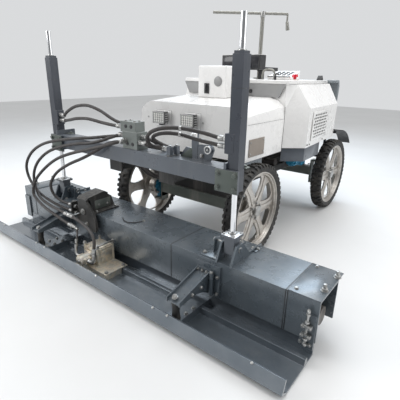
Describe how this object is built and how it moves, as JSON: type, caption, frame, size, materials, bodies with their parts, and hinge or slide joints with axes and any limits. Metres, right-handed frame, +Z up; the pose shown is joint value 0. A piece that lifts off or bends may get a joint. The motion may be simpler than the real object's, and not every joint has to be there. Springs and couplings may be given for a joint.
{
  "type": "power screed",
  "caption": "Four-wheel ride-on power screed: a wide auger and vibrating-plate head hangs on two lift masts ahead of a white bodied, hydraulically driven chassis.",
  "frame": {"origin": "on the ground under the middle of the machine's overall box", "axes": "+X across to the machine's right seen from behind the screed head looking along +Y, +Y from the screed head towards the drive end, +Z up"},
  "size_m": [2.52, 2.69, 1.72],
  "materials": {
    "dark_paint": "satin",
    "mast_paint": "satin",
    "white_paint": "satin",
    "grey_paint": "satin",
    "beige": "matte",
    "yellow_zinc": "satin",
    "chrome": "polished",
    "cast_alloy": "cast",
    "rubber": "matte",
    "tyre_rubber": "matte",
    "bare_steel": "dull",
    "motor_blue": "satin",
    "red_plastic": "gloss",
    "black_plastic": "matte"
  },
  "bodies": {
    "chassis": {"chassis_frame": "dark_paint", "front_axle": "dark_paint", "rear_axle": "dark_paint", "front_cowl": "white_paint", "rear_body": "white_paint", "deck_lid": "white_paint", "trim_band": "grey_paint", "console": "white_paint", "control_panel": "white_paint", "display_box": "black_plastic", "armrest": "black_plastic", "cable_mast": "bare_steel", "tail_cover": "grey_paint", "mudguard_left": "black_plastic", "mudguard_right": "black_plastic", "engine_with_pump": "bare_steel", "oil_tank": "dark_paint", "side_hatch": "beige", "work_light_left": "black_plastic", "work_light_right": "black_plastic", "crossbeam": "dark_paint", "mast_tube_left": "mast_paint", "mast_tube_right": "mast_paint", "hose_manifold": "grey_paint", "mast_hose_upper": "rubber", "mast_hose_lower": "rubber", "drop_hose_outer": "rubber", "drop_hose_inner": "rubber"},
    "lift_left": {"lift_rod_left": "chrome", "lift_foot_left": "bare_steel"},
    "lift_right": {"lift_rod_right": "chrome", "lift_foot_right": "bare_steel"},
    "head": {"head_centre": "dark_paint", "head_wing_left": "dark_paint", "head_wing_right": "dark_paint", "strike_blade": "bare_steel", "auger_motor": "bare_steel", "centre_bracket": "dark_paint", "damper_arm_left": "dark_paint", "damper_arm_right": "dark_paint"},
    "auger": {"auger": "bare_steel"},
    "plate": {"vibrating_plate": "dark_paint", "isolator_left": "rubber", "isolator_right": "rubber", "exciter_case": "yellow_zinc", "exciter_motor": "bare_steel"},
    "e_stop": {"e_stop_button": "red_plastic"},
    "lever": {"drive_lever": "black_plastic"},
    "hub_front_left": {"knuckle_front_left": "motor_blue"},
    "wheel_front_left": {"rim_front_left": "cast_alloy", "tyre_front_left": "tyre_rubber"},
    "hub_front_right": {"knuckle_front_right": "motor_blue"},
    "wheel_front_right": {"rim_front_right": "cast_alloy", "tyre_front_right": "tyre_rubber"},
    "hub_rear_left": {"knuckle_rear_left": "motor_blue"},
    "wheel_rear_left": {"rim_rear_left": "cast_alloy", "tyre_rear_left": "tyre_rubber"},
    "hub_rear_right": {"knuckle_rear_right": "motor_blue"},
    "wheel_rear_right": {"rim_rear_right": "cast_alloy", "tyre_rear_right": "tyre_rubber"}
  },
  "joints": [
    {"name": "steer_front_left", "type": "hinge", "parent": "chassis", "child": "hub_front_left", "pos_m": [-0.4, -0.335, 0.33], "axis": [0, 0, 1], "range_deg": [-20, 20]},
    {"name": "steer_front_right", "type": "hinge", "parent": "chassis", "child": "hub_front_right", "pos_m": [0.4, -0.335, 0.33], "axis": [0, 0, 1], "range_deg": [-20, 20]},
    {"name": "steer_rear_left", "type": "hinge", "parent": "chassis", "child": "hub_rear_left", "pos_m": [-0.44, 1.015, 0.33], "axis": [0, 0, 1], "range_deg": [-20, 20]},
    {"name": "steer_rear_right", "type": "hinge", "parent": "chassis", "child": "hub_rear_right", "pos_m": [0.44, 1.015, 0.33], "axis": [0, 0, 1], "range_deg": [-20, 20]},
    {"name": "spin_front_left", "type": "hinge", "parent": "hub_front_left", "child": "wheel_front_left", "pos_m": [-0.455, -0.335, 0.33], "axis": [1, 0, 0], "continuous": true},
    {"name": "spin_front_right", "type": "hinge", "parent": "hub_front_right", "child": "wheel_front_right", "pos_m": [0.455, -0.335, 0.33], "axis": [1, 0, 0], "continuous": true},
    {"name": "spin_rear_left", "type": "hinge", "parent": "hub_rear_left", "child": "wheel_rear_left", "pos_m": [-0.495, 1.015, 0.33], "axis": [1, 0, 0], "continuous": true},
    {"name": "spin_rear_right", "type": "hinge", "parent": "hub_rear_right", "child": "wheel_rear_right", "pos_m": [0.495, 1.015, 0.33], "axis": [1, 0, 0], "continuous": true},
    {"name": "lift_slide_left", "type": "slide", "parent": "chassis", "child": "lift_left", "axis": [0, 0, 1], "range_m": [0, 0.2], "deforming": ["drop_hose_outer", "drop_hose_inner"]},
    {"name": "lift_slide_right", "type": "slide", "parent": "chassis", "child": "lift_right", "axis": [0, 0, 1], "range_m": [0, 0.2]},
    {"name": "head_tilt", "type": "hinge", "parent": "lift_left", "child": "head", "pos_m": [0, -0.985, 0.375], "axis": [1, 0, 0], "range_deg": [-4, 4]},
    {"name": "auger_spin", "type": "hinge", "parent": "head", "child": "auger", "pos_m": [0, -0.9, 0.135], "axis": [1, 0, 0], "continuous": true},
    {"name": "plate_float", "type": "slide", "parent": "head", "child": "plate", "axis": [0, 0, 1], "range_m": [-0.004, 0.004], "stiffness_N_per_m": 400000, "deforming": ["isolator_left", "isolator_right"]},
    {"name": "e_stop_press", "type": "slide", "parent": "chassis", "child": "e_stop", "axis": [0, 0, -1], "range_m": [0, 0.004], "stiffness_N_per_m": 2000},
    {"name": "drive_lever_tilt", "type": "hinge", "parent": "chassis", "child": "lever", "pos_m": [0.02, 0.24, 1.1953], "axis": [1, 0, 0], "range_deg": [-15, 15], "stiffness_Nm_per_rad": 2}
  ],
  "couplings": [
    {"joint": "steer_front_right", "follows": "steer_front_left", "ratio": 1},
    {"joint": "steer_rear_left", "follows": "steer_front_left", "ratio": -1},
    {"joint": "steer_rear_right", "follows": "steer_front_left", "ratio": -1},
    {"joint": "lift_slide_right", "follows": "lift_slide_left", "ratio": 1}
  ]
}
